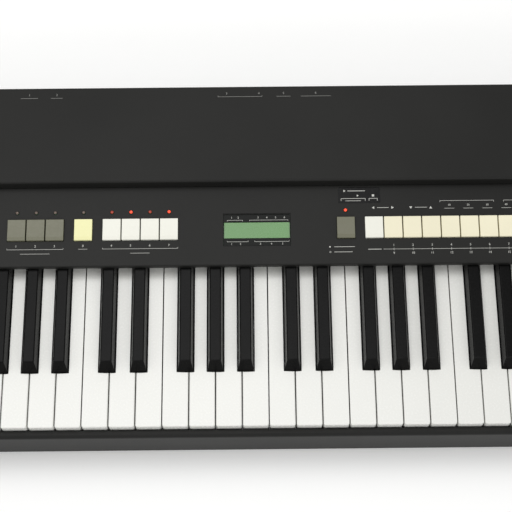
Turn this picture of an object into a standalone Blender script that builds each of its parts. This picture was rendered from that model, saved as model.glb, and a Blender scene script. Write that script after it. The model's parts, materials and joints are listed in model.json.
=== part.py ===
"""Portable drawbar organ with 61 keys, built as separate pieces at their real size.

Metres, +Z up. The player sits on the -Y side, the low keys are at -X, and the
origin is on the table, under the middle of the case.
"""

import math

import bmesh
import bpy
from mathutils import Matrix, Vector

# Fits shared by all pieces
CLEARANCE = 0.0003
RUNNING_CLEARANCE = 0.0004
OVERCUT = 0.004
WELD_DISTANCE = 0.000005

# Keyboard
OCTAVES = 5
WHITE_PER_OCTAVE = 7
KEY_PITCH = 0.0235
KEY_GAP = 0.0010
KEY_TOP_Z = 0.0620
KEY_SKIRT = 0.0180
KEY_WALL = 0.0016
KEY_EDGE = 0.0006
KEY_CORNER_RADIUS = 0.0016
KEY_DIP = 0.0100
WHITE_HEAD = 0.0494
PIVOT_REACH = 0.2000
PIVOT_DROP = 0.0100
BLACK_WIDTH = 0.0142
BLACK_TOP_WIDTH = 0.0100
BLACK_HEIGHT = 0.0115
BLACK_FRONT_SLOPE = 0.0062
BLACK_NOTCH_CLEARANCE = 0.0008
BLACK_EDGE = 0.0008
BLACK_COVER = 0.0145
BLACK_STEM_DROP = 0.0020
BLACK_OFFSETS = {0: -0.0022, 1: 0.0025, 3: -0.0031, 4: 0.0, 5: 0.0034}

# Rear bars that join the keys of one moulded set
SHELL_TO_PIVOT = 0.0080
BAR_FRONT = 0.0040
BAR_REAR = 0.0080
BAR_THICKNESS = 0.0030
BAR_GAP = 0.0008
NECK_WIDTH = 0.0060

# Case, from the front edge to the back and from the left end to the right
FRONT_LEDGE = 0.0076
KEY_REACH = 0.1437
PANEL_DEPTH = 0.0757
DECK_DEPTH = 0.0980
LEFT_BLOCK = 0.1500
RIGHT_BLOCK = 0.0740
FOOT_HEIGHT = 0.0080
RAIL_DROP = 0.0080
PANEL_FRONT_RISE = 0.0170
PANEL_REAR_RISE = 0.0220
DECK_RISE = 0.0330
CASE_WALL = 0.0030
SHEET = 0.0020
END_PLATE = 0.0040
RAIL_BEND = 0.0008
PANEL_BEND = 0.0012
DECK_BEND = 0.0024
BLOCK_BEND = 0.0180
DECK_STEP_LAP = 0.0120
DECK_REAR_DROP = 0.0140
CHASSIS_FLANGE = 0.0140
REAR_RECESS = 0.0045

# Feet
FOOT_RADIUS = 0.0120
FOOT_TAPER = 0.0020
FOOT_INSET_X = 0.0600
FOOT_INSET_Y = 0.0300

# Push buttons, lamps and display on the sloping panel
BUTTON_WIDTH = 0.0162
BUTTON_PITCH = 0.0173
BUTTON_DEPTH = 0.0200
BUTTON_FRONT = 0.0246
BUTTON_RISE = 0.0024
BUTTON_SKIRT = 0.0080
BUTTON_WALL = 0.0015
BUTTON_FLANGE = 0.0016
BUTTON_FLANGE_THICKNESS = 0.0015
BUTTON_TRAVEL = 0.0020
BUTTON_GROUPS = (
    ("drawbar_select", 0.1023, 3),
    ("split", 0.1627, 1),
    ("percussion", 0.1884, 4),
    ("bank_select", 0.4006, 1),
    ("preset", 0.4261, 9),
)
GROUPS_WITH_LAMPS = ("drawbar_select", "split", "percussion", "bank_select")
LAMP_RADIUS = 0.0015
LAMP_SIDES = 8
LAMP_RISE = 0.0008
LAMP_SETBACK = 0.0069
DISPLAY_LEFT = 0.2893
DISPLAY_WIDTH = 0.0612
DISPLAY_DEPTH = 0.0312
DISPLAY_FRONT = 0.0182
DISPLAY_RECESS = 0.0010
BEZEL_THICKNESS = 0.0015
LCD_WIDTH = 0.0599
LCD_DEPTH = 0.0155
LCD_FRONT = 0.0076
BOARD_DROP = 0.0125
BOARD_THICKNESS = 0.0016
SWITCH_SIZE = 0.0060

# Drawbars
DRAWBAR_COUNT = 9
DRAWBAR_FIRST = 0.0570
DRAWBAR_PITCH = 0.0190
DRAWBAR_TRAVEL = 0.0560
DRAWBAR_TAIL = 0.0840
DRAWBAR_STEM_WIDTH = 0.0060
DRAWBAR_STEM_HEIGHT = 0.0050
DRAWBAR_STEM_LIFT = 0.0022
DRAWBAR_CAP_WIDTH = 0.0125
DRAWBAR_CAP_DEPTH = 0.0130
DRAWBAR_CAP_HEIGHT = 0.0094
DRAWBAR_CAP_LIFT = 0.0010
DRAWBAR_CAP_ROUND = 0.0030
GUIDE_SETBACK = 0.0220

# Volume knob
KNOB_INSET = 0.0270
KNOB_FRONT = 0.0370
KNOB_RADIUS = 0.0090
KNOB_HEIGHT = 0.0110
KNOB_SHAFT_RADIUS = 0.0030
KNOB_SHAFT = 0.0085
KNOB_STEPS = 20

# Pitch and modulation wheels
WHEEL_RADIUS = 0.0260
WHEEL_WIDTH = 0.0080
WHEEL_PROTRUSION = 0.0090
WHEEL_SPACING = 0.0300
WHEEL_INSET = 0.0600
WHEEL_FROM_FRONT = 0.0900
WHEEL_STEPS = 24
WHEEL_HUB_RADIUS = 0.0070
WHEEL_HUB_WIDTH = 0.0110
WHEEL_GRIP_RADIUS = 0.0045
WHEEL_GRIP_SINK = 0.0022
MOD_WHEEL_REST = math.radians(45)
AXLE_RADIUS = 0.0030
BRACKET_WIDTH = 0.0700
BRACKET_DEPTH = 0.0260
BRACKET_SHEET = 0.0015
BRACKET_OVER_AXLE = 0.0080

# Connectors on the rear panel, by distance from the keyboard's left edge
JACK_RADIUS = 0.0033
JACK_DEPTH = 0.0140
JACK_NUT_RADIUS = 0.0068
JACK_NUT_THICKNESS = 0.0025
JACK_BODY = 0.0160
JACK_Z = 0.0580
JACK_PLACES = (0.1095, 0.1350, 0.2930, 0.3230, 0.3460)
DRIVER_PLACE = 0.3760
DRIVER_RADIUS = 0.0105
DIN_RADIUS = 0.0076
DIN_COLLAR = 0.0020
DIN_DEPTH = 0.0090
DIN_PLACES = (0.6150, 0.6450, 0.6750)
INLET_PLACE = 0.8100
INLET_WIDTH = 0.0270
INLET_HEIGHT = 0.0200
INLET_DEPTH = 0.0150
INLET_PIN = 0.0020
ROCKER_PLACE = 0.7650
ROCKER_WIDTH = 0.0130
ROCKER_HEIGHT = 0.0200
ROCKER_TILT = math.radians(8)

# Boards and supply behind the keybed
MAIN_BOARD_LEFT = 0.0850
MAIN_BOARD_WIDTH = 0.3200
MAIN_BOARD_DEPTH = 0.0600
STANDOFF_HEIGHT = 0.0060
SUPPLY_LEFT = 0.6900
SUPPLY_WIDTH = 0.1100
SUPPLY_DEPTH = 0.0620
TRANSFORMER_HEIGHT = 0.0420
BOARD_SETBACK = 0.0080

# Worked out from the sizes above
WHITE_COUNT = WHITE_PER_OCTAVE * OCTAVES + 1
KEYBOARD_LENGTH = WHITE_COUNT * KEY_PITCH
CASE_LENGTH = LEFT_BLOCK + KEYBOARD_LENGTH + RIGHT_BLOCK
CASE_DEPTH = FRONT_LEDGE + KEY_REACH + PANEL_DEPTH + DECK_DEPTH
LEFT_X = -CASE_LENGTH / 2
RIGHT_X = CASE_LENGTH / 2
KEYBOARD_LEFT = LEFT_X + LEFT_BLOCK
KEYBOARD_RIGHT = RIGHT_X - RIGHT_BLOCK
FRONT_Y = -CASE_DEPTH / 2
REAR_Y = CASE_DEPTH / 2
KEY_FRONT_Y = FRONT_Y + FRONT_LEDGE
PANEL_FRONT_Y = KEY_FRONT_Y + KEY_REACH
DECK_FRONT_Y = PANEL_FRONT_Y + PANEL_DEPTH
PIVOT_Y = KEY_FRONT_Y + PIVOT_REACH
PIVOT_Z = KEY_TOP_Z - PIVOT_DROP
SKIRT_Z = KEY_TOP_Z - KEY_SKIRT
BLACK_TOP_Z = KEY_TOP_Z + BLACK_HEIGHT
NOTCH_WIDTH = BLACK_WIDTH + 2 * BLACK_NOTCH_CLEARANCE
RAIL_Z = KEY_TOP_Z - RAIL_DROP
PANEL_FRONT_Z = KEY_TOP_Z + PANEL_FRONT_RISE
PANEL_REAR_Z = KEY_TOP_Z + PANEL_REAR_RISE
DECK_Z = KEY_TOP_Z + DECK_RISE
FLOOR_Z = FOOT_HEIGHT + SHEET
PANEL_TILT = math.atan2(PANEL_REAR_Z - PANEL_FRONT_Z, PANEL_DEPTH)
INNER_LEFT = LEFT_X + END_PLATE + CLEARANCE
INNER_RIGHT = RIGHT_X - END_PLATE - CLEARANCE
LEDGE_Z = PIVOT_Z - 1.5 * BAR_THICKNESS - BAR_GAP - CLEARANCE
REAR_PANEL_Y = REAR_Y - REAR_RECESS
SWITCH_TOP = BUTTON_SKIRT + BUTTON_TRAVEL + CLEARANCE

ARC_STEPS = 3
SOCKET_SIDES = 12
JACK_SIDES = 8
WHITE_OF_SET = {"outer": (0, 2, 4, 6), "inner": (1, 3, 5)}
SET_LEVEL = {"sharps": -1, "inner": 0, "outer": 1}
PLANES = {
    "XY": Matrix.Identity(4),
    "YZ": Matrix(((0, 0, 1, 0), (1, 0, 0, 0), (0, 1, 0, 0), (0, 0, 0, 1))),
    "XZ": Matrix(((1, 0, 0, 0), (0, 0, -1, 0), (0, 1, 0, 0), (0, 0, 0, 1))),
}


def clear_scene():
    for obj in list(bpy.data.objects):
        bpy.data.objects.remove(obj, do_unlink=True)


def make_collection(name):
    collection = bpy.data.collections.new(name)
    bpy.context.scene.collection.children.link(collection)
    return collection


clear_scene()
ORGAN = make_collection("drawbar_organ")
CUTTERS = make_collection("cutters")
CUTTERS.hide_render = True


def make_material(name, colour, roughness, metallic=0.0):
    material = bpy.data.materials.new(name)
    material.use_nodes = True
    shader = material.node_tree.nodes["Principled BSDF"]
    shader.inputs["Base Color"].default_value = (*colour, 1)
    shader.inputs["Roughness"].default_value = roughness
    shader.inputs["Metallic"].default_value = metallic
    material.diffuse_color = (*colour, 1)
    return material


CASE_BLACK = make_material("case_black", (0.020, 0.020, 0.018), 0.55)
PANEL_BLACK = make_material("panel_black", (0.026, 0.026, 0.024), 0.50)
IVORY = make_material("ivory_keys", (0.84, 0.84, 0.80), 0.30)
EBONY = make_material("ebony_keys", (0.008, 0.008, 0.008), 0.25)
OLIVE = make_material("olive_button", (0.26, 0.26, 0.17), 0.50)
CREAM = make_material("cream_button", (0.96, 0.90, 0.66), 0.45)
WHITE = make_material("white_button", (0.88, 0.88, 0.82), 0.45)
WINDOW_BLACK = make_material("window_black", (0.006, 0.007, 0.006), 0.15)
LCD_GREEN = make_material("lcd_green", (0.14, 0.34, 0.09), 0.35)
CIRCUIT_GREEN = make_material("circuit_green", (0.03, 0.16, 0.06), 0.45)
STEEL = make_material("zinc_steel", (0.55, 0.56, 0.56), 0.35, 0.9)
BROWN = make_material("brown_cap", (0.10, 0.035, 0.015), 0.40)
TRANSFORMER = make_material("transformer_iron", (0.12, 0.12, 0.13), 0.55, 0.5)


def mesh_of(bm, name):
    bmesh.ops.remove_doubles(bm, verts=bm.verts, dist=WELD_DISTANCE)
    mesh = bpy.data.meshes.new(name)
    bm.to_mesh(mesh)
    bm.free()
    return mesh


def bmesh_of(mesh):
    """The mesh as a bmesh, with the mesh itself removed."""
    bm = bmesh.new()
    bm.from_mesh(mesh)
    bpy.data.meshes.remove(mesh)
    return bm


def add_piece(name, mesh, material, location=(0, 0, 0), parent=None):
    obj = bpy.data.objects.new(name, mesh)
    obj.location = location
    obj.parent = parent
    mesh.materials.clear()
    mesh.materials.append(material)
    ORGAN.objects.link(obj)
    return obj


def add_cutter(name, mesh, location=(0, 0, 0), parent=None):
    obj = bpy.data.objects.new(name, mesh)
    obj.location = location
    obj.parent = parent
    obj.hide_render = True
    obj.display_type = "WIRE"
    CUTTERS.objects.link(obj)
    return obj


def add_boolean(obj, other, operation):
    modifier = obj.modifiers.new(operation.lower() + "_" + other.name, "BOOLEAN")
    modifier.operation = operation
    modifier.solver = "EXACT"
    modifier.object = other


def cut(obj, mesh, name, location=(0, 0, 0), parent=None):
    add_boolean(obj, add_cutter(obj.name + "_" + name, mesh, location, parent), "DIFFERENCE")


def join(obj, mesh, name, location=(0, 0, 0), parent=None):
    add_boolean(obj, add_cutter(obj.name + "_" + name, mesh, location, parent), "UNION")


def add_solidify(obj, thickness):
    """Thickens an open surface to the side away from its normals."""
    modifier = obj.modifiers.new("wall", "SOLIDIFY")
    modifier.thickness = thickness
    modifier.offset = -1
    modifier.use_even_offset = True


def box_into(bm, low, high):
    """Adds a cube primitive stretched between two corners."""
    low = Vector(low)
    high = Vector(high)
    size = high - low
    matrix = Matrix.Translation((low + high) / 2) @ Matrix.Diagonal((*size, 1))
    return bmesh.ops.create_cube(bm, size=1, matrix=matrix)["verts"]


def boxes_mesh(name, corners):
    bm = bmesh.new()
    for low, high in corners:
        box_into(bm, low, high)
    return mesh_of(bm, name)


def rod_into(bm, radius, start, end, sides, top_radius=None):
    """Adds a capped cone or cylinder primitive whose axis runs from start to end."""
    start = Vector(start)
    end = Vector(end)
    along = end - start
    turn = Vector((0, 0, 1)).rotation_difference(along).to_matrix().to_4x4()
    bmesh.ops.create_cone(
        bm,
        cap_ends=True,
        segments=sides,
        radius1=radius,
        radius2=radius if top_radius is None else top_radius,
        depth=along.length,
        matrix=Matrix.Translation((start + end) / 2) @ turn,
    )


def arc_points(centre, radius, start, end, steps=ARC_STEPS):
    """Points on an arc, angles in radians, both ends included."""
    angles = [start + (end - start) * i / steps for i in range(steps + 1)]
    return [(centre[0] + radius * math.cos(a), centre[1] + radius * math.sin(a)) for a in angles]


def rounded_path(points, radii, closed=False, steps=ARC_STEPS):
    """The path with a fillet of the given radius at each point where it isn't zero."""
    path = []
    count = len(points)
    for i, radius in enumerate(radii):
        corner = Vector(points[i])
        if radius == 0 or (not closed and i in (0, count - 1)):
            path.append(tuple(corner))
            continue
        back = (Vector(points[i - 1]) - corner).normalized()
        ahead = (Vector(points[(i + 1) % count]) - corner).normalized()
        half = back.angle(ahead) / 2
        centre = corner + (back + ahead).normalized() * radius / math.sin(half)
        first = corner + back * radius / math.tan(half) - centre
        last = corner + ahead * radius / math.tan(half) - centre
        sweep = math.atan2(first.x * last.y - first.y * last.x, first.dot(last))
        start = math.atan2(first.y, first.x)
        path += arc_points(centre, radius, start, start + sweep, steps)
    return path


def outline_mesh(name, points, low, high, plane="XY"):
    """A flat outline in the plane, made solid from low to high along the plane's normal."""
    curve = bpy.data.curves.new(name, "CURVE")
    curve.dimensions = "2D"
    curve.fill_mode = "BOTH"
    curve.extrude = (high - low) / 2
    spline = curve.splines.new("POLY")
    spline.points.add(len(points) - 1)
    for point, (u, v) in zip(spline.points, points):
        point.co = (u, v, 0, 1)
    spline.use_cyclic_u = True
    holder = bpy.data.objects.new(name, curve)
    bpy.context.scene.collection.objects.link(holder)
    graph = bpy.context.evaluated_depsgraph_get()
    bm = bmesh_of(bpy.data.meshes.new_from_object(holder.evaluated_get(graph)))
    bpy.data.objects.remove(holder, do_unlink=True)
    bpy.data.curves.remove(curve)
    bmesh.ops.remove_doubles(bm, verts=bm.verts, dist=WELD_DISTANCE)
    make_caps_single(bm)
    bmesh.ops.translate(bm, verts=bm.verts, vec=(0, 0, (low + high) / 2))
    bm.transform(PLANES[plane])
    return mesh_of(bm, name)


def make_caps_single(bm):
    """Swaps the triangles of each filled cap for one face that meets every point of its rim."""
    bm.normal_update()
    caps = [f for f in bm.faces if abs(f.normal.z) > 0.5]
    bmesh.ops.delete(bm, geom=caps, context="FACES")
    rims = [e for e in bm.edges if e.is_boundary]
    bmesh.ops.holes_fill(bm, edges=rims, sides=0)
    bmesh.ops.recalc_face_normals(bm, faces=bm.faces)


def swept_sheet(name, path, start, end, plane="YZ"):
    """An open surface: a path in the plane drawn square to it, its normals left of the path."""
    bm = bmesh.new()
    verts = [bm.verts.new((u, v, start)) for u, v in path]
    edges = [bm.edges.new(pair) for pair in zip(verts, verts[1:])]
    swept = bmesh.ops.extrude_edge_only(bm, edges=edges)["geom"]
    moved = [item for item in swept if isinstance(item, bmesh.types.BMVert)]
    bmesh.ops.translate(bm, verts=moved, vec=(0, 0, end - start))
    bm.normal_update()
    first = next(f for f in bm.faces if verts[0] in f.verts and verts[1] in f.verts)
    along = verts[1].co - verts[0].co
    if first.normal.dot(Vector((-along.y, along.x, 0))) < 0:
        bmesh.ops.reverse_faces(bm, faces=bm.faces)
    bm.transform(PLANES[plane])
    return mesh_of(bm, name)


def turned_piece(name, profile, steps, material, location, turn=None, parent=None):
    """A profile of (radius, height) points down the outer side, spun about its own Z axis."""
    bm = bmesh.new()
    verts = [bm.verts.new((radius, 0, height)) for radius, height in profile]
    for pair in zip(verts, verts[1:]):
        bm.edges.new(pair)
    if profile[0][0] > 0 and profile[-1][0] > 0:
        bm.edges.new((verts[-1], verts[0]))
    mesh = mesh_of(bm, name)
    obj = add_piece(name, mesh, material, location, parent)
    if turn:
        obj.rotation_euler = turn
    modifier = obj.modifiers.new("turn", "SCREW")
    modifier.axis = "Z"
    modifier.steps = steps
    modifier.render_steps = steps
    modifier.use_merge_vertices = True
    modifier.merge_threshold = 0.00001
    modifier.use_smooth_shade = True
    return obj


PANEL_PLANE = bpy.data.objects.new("panel_plane", None)
PANEL_PLANE.location = (0, PANEL_FRONT_Y, PANEL_FRONT_Z)
PANEL_PLANE.rotation_euler = (PANEL_TILT, 0, 0)
ORGAN.objects.link(PANEL_PLANE)


def from_keys(distance):
    """X of a place given by its distance from the keyboard's left edge."""
    return KEYBOARD_LEFT + distance


def button_centres(first, count):
    return [from_keys(first) + BUTTON_PITCH * i for i in range(count)]


def lamp_places():
    """X of each lamp; all stand in one line behind the buttons."""
    places = []
    for group, first, count in BUTTON_GROUPS:
        if group in GROUPS_WITH_LAMPS:
            places += button_centres(first, count)
    return places


LAMP_LINE = BUTTON_FRONT + BUTTON_DEPTH + LAMP_SETBACK


def wheel_places():
    """X of the pitch wheel and of the modulation wheel."""
    return LEFT_X + WHEEL_INSET, LEFT_X + WHEEL_INSET + WHEEL_SPACING


WHEEL_Y = FRONT_Y + WHEEL_FROM_FRONT
AXLE_Z = PANEL_FRONT_Z + WHEEL_PROTRUSION - WHEEL_RADIUS
BORE_RADIUS = AXLE_RADIUS + CLEARANCE


# Keys


def white_outline(index, last, inset):
    """(x, y) outline of a white key, x from its octave's left edge, y from the pivot."""
    left = index * KEY_PITCH + KEY_GAP / 2 + inset
    right = (index + 1) * KEY_PITCH - KEY_GAP / 2 - inset
    front = -PIVOT_REACH + inset
    notch = -PIVOT_REACH + WHITE_HEAD - inset
    rear = -SHELL_TO_PIVOT - inset
    stem_left, stem_right = white_stem(index, last)
    stem_left += inset
    stem_right -= inset
    points = [(left, front), (right, front)]
    if stem_right < right:
        points += [(right, notch), (stem_right, notch)]
    points += [(stem_right, rear), (stem_left, rear)]
    if stem_left > left:
        points += [(stem_left, notch), (left, notch)]
    if inset:
        return points
    radii = [KEY_CORNER_RADIUS] * 2 + [0] * (len(points) - 2)
    return rounded_path(points, radii, closed=True, steps=2)


def white_stem(index, last):
    """X of the left and right sides of a white key between its black neighbours."""
    left = index * KEY_PITCH + KEY_GAP / 2
    right = (index + 1) * KEY_PITCH - KEY_GAP / 2
    if index - 1 in BLACK_OFFSETS:
        left = index * KEY_PITCH + BLACK_OFFSETS[index - 1] + NOTCH_WIDTH / 2
    if index in BLACK_OFFSETS and not last:
        right = (index + 1) * KEY_PITCH + BLACK_OFFSETS[index] - NOTCH_WIDTH / 2
    return left, right


def bevel_head_edges(bm, level_z, rear_y, width):
    """Breaks the upper edges in front of rear_y."""
    edges = [
        e
        for e in bm.edges
        if all(abs(v.co.z - level_z) < WELD_DISTANCE for v in e.verts)
        and all(v.co.y < rear_y + WELD_DISTANCE for v in e.verts)
    ]
    bmesh.ops.bevel(
        bm, geom=edges, offset=width, offset_type="OFFSET", segments=1, profile=0.5, affect="EDGES"
    )


def white_solid(index, last):
    """One white key before it is hollowed, the upper edges of its head broken."""
    top = KEY_TOP_Z - PIVOT_Z
    points = white_outline(index, last, 0)
    bm = bmesh_of(outline_mesh("white", points, top - KEY_SKIRT, top))
    bevel_head_edges(bm, top, -PIVOT_REACH + WHITE_HEAD, KEY_EDGE)
    return mesh_of(bm, "white")


def white_hollow(index, last):
    """The space inside one white key, open below."""
    top = KEY_TOP_Z - PIVOT_Z
    points = white_outline(index, last, KEY_WALL)
    return outline_mesh("hollow", points, top - KEY_SKIRT - OVERCUT, top - KEY_WALL)


def black_side(inset):
    """(y, z) outline of a black key from its foot to its stem, drawn in by inset all round."""
    foot = -PIVOT_REACH + WHITE_HEAD + BLACK_NOTCH_CLEARANCE + inset
    cover_end = -PIVOT_REACH + KEY_REACH + BLACK_COVER - inset
    stem_end = -SHELL_TO_PIVOT - inset
    level = KEY_TOP_Z - PIVOT_Z
    top = level + BLACK_HEIGHT - inset
    stem_top = level - BLACK_STEM_DROP - inset
    bottom = SKIRT_Z - PIVOT_Z - (OVERCUT if inset else 0)
    return [
        (foot, bottom),
        (foot, level),
        (foot + BLACK_FRONT_SLOPE, top),
        (cover_end, top),
        (cover_end, stem_top),
        (stem_end, stem_top),
        (stem_end, bottom),
    ]


def black_centre(index):
    return (index + 1) * KEY_PITCH + BLACK_OFFSETS[index]


def black_solid(index):
    """One black key before it is hollowed: tapered above the white keys, its top edges broken."""
    level = KEY_TOP_Z - PIVOT_Z
    top = level + BLACK_HEIGHT
    half = BLACK_WIDTH / 2
    bm = bmesh_of(outline_mesh("black", black_side(0), -half, half, "YZ"))
    everything = bm.verts[:] + bm.edges[:] + bm.faces[:]
    bmesh.ops.bisect_plane(bm, geom=everything, plane_co=(0, 0, level), plane_no=(0, 0, 1))
    upper = [v for v in bm.verts if abs(v.co.z - top) < WELD_DISTANCE]
    for vert in upper:
        vert.co.x *= BLACK_TOP_WIDTH / BLACK_WIDTH
    rear_y = max(v.co.y for v in upper)
    edges = [
        e
        for e in bm.edges
        if all(v in upper for v in e.verts)
        and not all(abs(v.co.y - rear_y) < WELD_DISTANCE for v in e.verts)
    ]
    bmesh.ops.bevel(
        bm, geom=edges, offset=BLACK_EDGE, offset_type="OFFSET", segments=1, affect="EDGES"
    )
    bmesh.ops.translate(bm, verts=bm.verts, vec=(black_centre(index), 0, 0))
    return mesh_of(bm, "black")


def black_hollow(index):
    """The space inside one black key, open below."""
    centre = black_centre(index)
    half = BLACK_TOP_WIDTH / 2 - KEY_WALL
    return outline_mesh("hollow", black_side(KEY_WALL), centre - half, centre + half, "YZ")


def merged(name, meshes):
    """One mesh of several separate ones, which are removed."""
    bm = bmesh.new()
    for mesh in meshes:
        bm.from_mesh(mesh)
        bpy.data.meshes.remove(mesh)
    return mesh_of(bm, name)


def set_origin(octave):
    """The left end of an octave on the line about which its keys turn."""
    return KEYBOARD_LEFT + octave * WHITE_PER_OCTAVE * KEY_PITCH, PIVOT_Y, PIVOT_Z


def make_set(name, kind, octave, solids, hollows, stems, material):
    """One moulded set: hollow keys side by side on a thin bar at their common pivot."""
    origin = set_origin(octave)
    keys = add_piece(name, merged(name, solids), material, origin)
    cut(keys, merged("hollows", hollows), "hollows", origin)
    left = min(stems) - NECK_WIDTH
    right = max(stems) + NECK_WIDTH
    lift = SET_LEVEL[kind] * (BAR_THICKNESS + BAR_GAP)
    half = BAR_THICKNESS / 2
    bar = ((left, -BAR_FRONT, lift - half), (right, BAR_REAR, lift + half))
    join(keys, boxes_mesh("bar", [bar]), "bar", origin)
    half -= CLEARANCE
    tip = -SHELL_TO_PIVOT - KEY_WALL - CLEARANCE
    necks = []
    for stem in stems:
        low = (stem - NECK_WIDTH / 2, tip, lift - half)
        necks.append((low, (stem + NECK_WIDTH / 2, 0, lift + half)))
    join(keys, boxes_mesh("necks", necks), "necks", origin)


def make_white_set(kind, octave):
    indices = WHITE_OF_SET[kind]
    if kind == "outer" and octave == OCTAVES - 1:
        indices = (*indices, WHITE_PER_OCTAVE)
    keys = [(i, i == WHITE_PER_OCTAVE) for i in indices]
    solids = [white_solid(*key) for key in keys]
    hollows = [white_hollow(*key) for key in keys]
    stems = [sum(white_stem(*key)) / 2 for key in keys]
    name = f"white_keys_{kind}_{octave + 1}"
    make_set(name, kind, octave, solids, hollows, stems, IVORY)


def make_black_set(octave):
    solids = [black_solid(i) for i in BLACK_OFFSETS]
    hollows = [black_hollow(i) for i in BLACK_OFFSETS]
    stems = [black_centre(i) for i in BLACK_OFFSETS]
    make_set(f"black_keys_{octave + 1}", "sharps", octave, solids, hollows, stems, EBONY)


def make_keys():
    for octave in range(OCTAVES):
        for kind in WHITE_OF_SET:
            make_white_set(kind, octave)
        make_black_set(octave)


# Case


def make_chassis():
    """Folded steel tray with four rubber feet."""
    low = (INNER_LEFT, FRONT_Y + CASE_WALL + CLEARANCE, FOOT_HEIGHT)
    high = (INNER_RIGHT, REAR_Y - CLEARANCE, FOOT_HEIGHT + CHASSIS_FLANGE)
    bm = bmesh.new()
    box_into(bm, low, high)
    top = [f for f in bm.faces if f.normal.z > 0.5]
    bmesh.ops.delete(bm, geom=top, context="FACES")
    tray = add_piece("bottom_chassis", mesh_of(bm, "bottom_chassis"), CASE_BLACK)
    add_solidify(tray, SHEET)
    bm = bmesh.new()
    for x in (LEFT_X + FOOT_INSET_X, RIGHT_X - FOOT_INSET_X):
        for y in (FRONT_Y + FOOT_INSET_Y, REAR_Y - FOOT_INSET_Y):
            top_z = FOOT_HEIGHT + SHEET / 2
            rod_into(bm, FOOT_RADIUS - FOOT_TAPER, (x, y, 0), (x, y, top_z), 16, FOOT_RADIUS)
    join(tray, mesh_of(bm, "feet"), "feet")


def end_profile():
    """(y, z) outline of the case seen from its end."""
    points = [
        (FRONT_Y, FOOT_HEIGHT),
        (REAR_Y, FOOT_HEIGHT),
        (REAR_Y, DECK_Z),
        (DECK_FRONT_Y, DECK_Z),
        (DECK_FRONT_Y, PANEL_REAR_Z),
        (PANEL_FRONT_Y, PANEL_FRONT_Z),
        (FRONT_Y, PANEL_FRONT_Z),
    ]
    radii = [0, 0, DECK_BEND, DECK_BEND, 0, 0, BLOCK_BEND]
    return rounded_path(points, radii, closed=True, steps=4)


def block_room():
    """(y, z) outline of the space inside the block beside the keys."""
    front = FRONT_Y + CASE_WALL
    bottom = FOOT_HEIGHT - OVERCUT
    rear = PANEL_FRONT_Y + OVERCUT
    top = PANEL_FRONT_Z - CASE_WALL
    points = [(front, bottom), (rear, bottom), (rear, top), (front, top)]
    return rounded_path(points, [0, 0, 0, BLOCK_BEND - CASE_WALL], closed=True, steps=4)


def make_cheek(name, outer, inner):
    """End plate and hollow block beside the keys, moulded in one; outer and inner are X faces."""
    side = math.copysign(1, inner - outer)
    plate_inner = outer + side * END_PLATE
    block_rear = PANEL_FRONT_Y - CLEARANCE
    faces = sorted((outer, inner))
    cheek = add_piece(name, outline_mesh(name, end_profile(), *faces, "YZ"), CASE_BLACK)
    ends = sorted((plate_inner, inner + side * OVERCUT))
    low = (ends[0], block_rear, FOOT_HEIGHT - OVERCUT)
    high = (ends[1], REAR_Y + OVERCUT, DECK_Z + OVERCUT)
    cut(cheek, boxes_mesh("rear_room", [(low, high)]), "rear_room")
    faces = sorted((plate_inner, inner - side * CASE_WALL))
    cut(cheek, outline_mesh("hollow", block_room(), *faces, "YZ"), "hollow")
    tray_top = FOOT_HEIGHT + CHASSIS_FLANGE + CLEARANCE
    low = (ends[0], FRONT_Y + CASE_WALL, FOOT_HEIGHT - OVERCUT / 2)
    high = (ends[1], block_rear + OVERCUT, tray_top)
    cut(cheek, boxes_mesh("tray_room", [(low, high)]), "tray_room")
    return cheek


def make_cheeks():
    left = make_cheek("left_cheek", LEFT_X, KEYBOARD_LEFT)
    make_cheek("right_cheek", RIGHT_X, KEYBOARD_RIGHT)
    reach = WHEEL_RADIUS - WHEEL_PROTRUSION - CASE_WALL
    half_slot = math.sqrt(WHEEL_RADIUS**2 - reach**2) + RUNNING_CLEARANCE
    half_width = WHEEL_WIDTH / 2 + RUNNING_CLEARANCE
    slots = []
    for x in wheel_places():
        low = (x - half_width, WHEEL_Y - half_slot, PANEL_FRONT_Z - CASE_WALL - OVERCUT)
        high = (x + half_width, WHEEL_Y + half_slot, PANEL_FRONT_Z + OVERCUT)
        slots.append((low, high))
    cut(left, boxes_mesh("wheel_slots", slots), "wheel_slots")


def make_front_rail():
    """Extruded strip in front of the keys with a rounded upper bend."""
    back = KEY_FRONT_Y - KEY_GAP
    path = [
        (FRONT_Y, FOOT_HEIGHT),
        (FRONT_Y, RAIL_Z),
        (back, RAIL_Z),
        (back, RAIL_Z - RAIL_DROP),
    ]
    path = rounded_path(path, [0, SHEET + RAIL_BEND, 0, 0])
    left = KEYBOARD_LEFT + CLEARANCE
    right = KEYBOARD_RIGHT - CLEARANCE
    mesh = swept_sheet("front_rail", path, left, right)
    rail = add_piece("front_rail", mesh, CASE_BLACK)
    add_solidify(rail, SHEET)


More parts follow.
